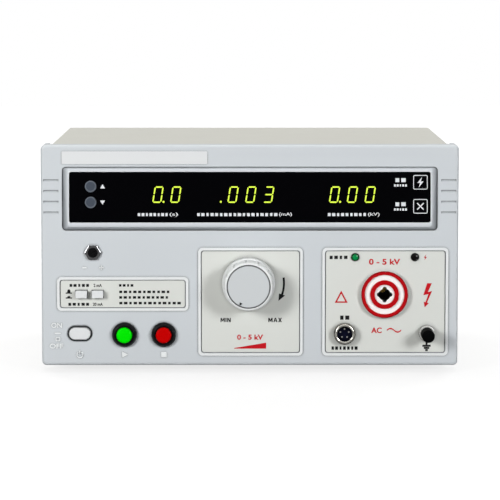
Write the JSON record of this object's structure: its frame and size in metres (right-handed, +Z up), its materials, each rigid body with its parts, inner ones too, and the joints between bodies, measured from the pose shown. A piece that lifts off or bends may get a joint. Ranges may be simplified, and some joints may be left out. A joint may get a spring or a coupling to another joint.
{
  "type": "withstand-voltage tester",
  "caption": "Bench withstand-voltage tester: box case with a digital display, voltage knob, push buttons, ringed high-voltage socket, control socket and ground post.",
  "frame": {"origin": "on the floor under the middle of the part's box", "axes": "+X to the right as seen from the front, -Y out of the front panel, +Z up"},
  "size_m": [0.32, 0.2758, 0.175],
  "materials": {
    "moulding": "light blue-grey moulded plastic, fine grain",
    "surround": "light grey moulded plastic",
    "window": "dark polished acrylic",
    "board": "green circuit board",
    "digits": "black LED blocks with light segments",
    "slate": "slate grey plastic",
    "black_plastic": "black plastic",
    "plate": "pale anodised plate",
    "label": "off-white printed foil",
    "grey_plastic": "light grey plastic",
    "nickel": "nickel plated metal",
    "steel": "turned steel",
    "zinc": "zinc plated screws",
    "green_cap": "bright green plastic",
    "red_cap": "bright red plastic",
    "knob": "pale grey plastic",
    "disc": "satin disc",
    "brass": "brass",
    "carbon": "carbon",
    "cast": "cast aluminium",
    "copper": "enamelled copper winding",
    "insulator": "white insulator",
    "hv_red": "red insulator rings",
    "green_lamp": "green lens",
    "dark_lamp": "dark red unlit lens",
    "insert": "dark blue insert",
    "sheet": "grey painted sheet steel",
    "cover": "warm grey textured paint",
    "rubber": "black rubber",
    "glass": "fuse glass",
    "iron": "varnished lamination stack",
    "tape": "insulating tape over the coil",
    "parts": "relays, capacitors, pillars and plugs"
  },
  "bodies": {
    "instrument": {"front_bezel": "moulding", "display_surround": "surround", "display_window": "window", "display_board": "board", "digit_blocks": "digits", "square_lamps": "digits", "tact_switches": "black_plastic", "name_plate": "plate", "mode_label": "label", "adjust_label": "label", "output_label": "label", "preset_pot": "nickel", "preset_nut": "nickel", "latching_switches": "black_plastic", "power_switch": "black_plastic", "start_ring": "black_plastic", "stop_ring": "black_plastic", "panel_nuts": "nickel", "variac_stand": "cast", "variac_coil": "copper", "hv_socket": "insulator", "hv_rings": "hv_red", "hv_contact": "brass", "hv_nut": "insulator", "ready_lamp": "green_lamp", "warning_lamp": "dark_lamp", "control_shell": "nickel", "control_insert_block": "insert", "control_pins": "brass", "ground_post": "steel", "ground_collar": "nickel", "base_tray": "sheet", "top_cover": "cover", "rear_panel": "sheet", "rubber_feet": "rubber", "case_screws": "zinc", "mains_inlet": "black_plastic", "inlet_pins": "nickel", "core_stack": "iron", "core_coil": "tape", "main_board": "board", "board_parts": "parts"},
    "voltage_control": {"voltage_knob": "knob", "knob_disc": "disc", "knob_shaft": "steel", "brush_arm": "brass", "carbon_brush": "carbon"},
    "power_key": {"power_button": "grey_plastic"},
    "mode_key": {"mode_button": "grey_plastic"},
    "range_key": {"range_button": "grey_plastic"},
    "up_key": {"up_button": "slate"},
    "down_key": {"down_button": "slate"},
    "start_key": {"start_cap": "green_cap"},
    "stop_key": {"stop_cap": "red_cap"},
    "preset_screw": {"preset_shaft": "steel"},
    "post_clamp": {"clamp_washer": "nickel"},
    "post_cap": {"ground_cap": "black_plastic"},
    "fuse_carrier": {"fuse_drawer": "black_plastic", "fuse": "glass"}
  },
  "joints": [
    {"name": "voltage_turn", "type": "hinge", "parent": "instrument", "child": "voltage_control", "pos_m": [-0.001, -0.11145, 0.0688], "axis": [0, 1, 0], "range_deg": [0, 312]},
    {"name": "power_release", "type": "slide", "parent": "instrument", "child": "power_key", "axis": [0, -1, 0], "range_m": [0, 0.0035]},
    {"name": "mode_press", "type": "slide", "parent": "instrument", "child": "mode_key", "axis": [0, 1, 0], "range_m": [0, 0.003], "stiffness_N_per_m": 400},
    {"name": "range_press", "type": "slide", "parent": "instrument", "child": "range_key", "axis": [0, 1, 0], "range_m": [0, 0.003], "stiffness_N_per_m": 400},
    {"name": "up_press", "type": "slide", "parent": "instrument", "child": "up_key", "axis": [0, 0.9954, -0.096], "range_m": [0, 0.0007], "stiffness_N_per_m": 900},
    {"name": "down_press", "type": "slide", "parent": "instrument", "child": "down_key", "axis": [0, 0.9954, -0.096], "range_m": [0, 0.0007], "stiffness_N_per_m": 900},
    {"name": "start_press", "type": "slide", "parent": "instrument", "child": "start_key", "axis": [0, 1, 0], "range_m": [0, 0.0025], "stiffness_N_per_m": 600},
    {"name": "stop_press", "type": "slide", "parent": "instrument", "child": "stop_key", "axis": [0, 1, 0], "range_m": [0, 0.0025], "stiffness_N_per_m": 600},
    {"name": "preset_turn", "type": "hinge", "parent": "instrument", "child": "preset_screw", "pos_m": [-0.1204, -0.11145, 0.0924], "axis": [0, 1, 0], "range_deg": [-150, 150]},
    {"name": "post_lift", "type": "slide", "parent": "instrument", "child": "post_clamp", "axis": [0, -1, 0], "range_m": [0, 0.004]},
    {"name": "post_turn", "type": "hinge", "parent": "post_clamp", "child": "post_cap", "pos_m": [0.136, -0.11145, 0.0302], "axis": [0, -1, 0], "range_deg": [0, 1820]},
    {"name": "fuse_pull", "type": "slide", "parent": "instrument", "child": "fuse_carrier", "axis": [0, 1, 0], "range_m": [0, 0.02]}
  ],
  "couplings": [
    {"joint": "post_turn", "follows": "post_lift", "rad_per_m": 7845}
  ]
}
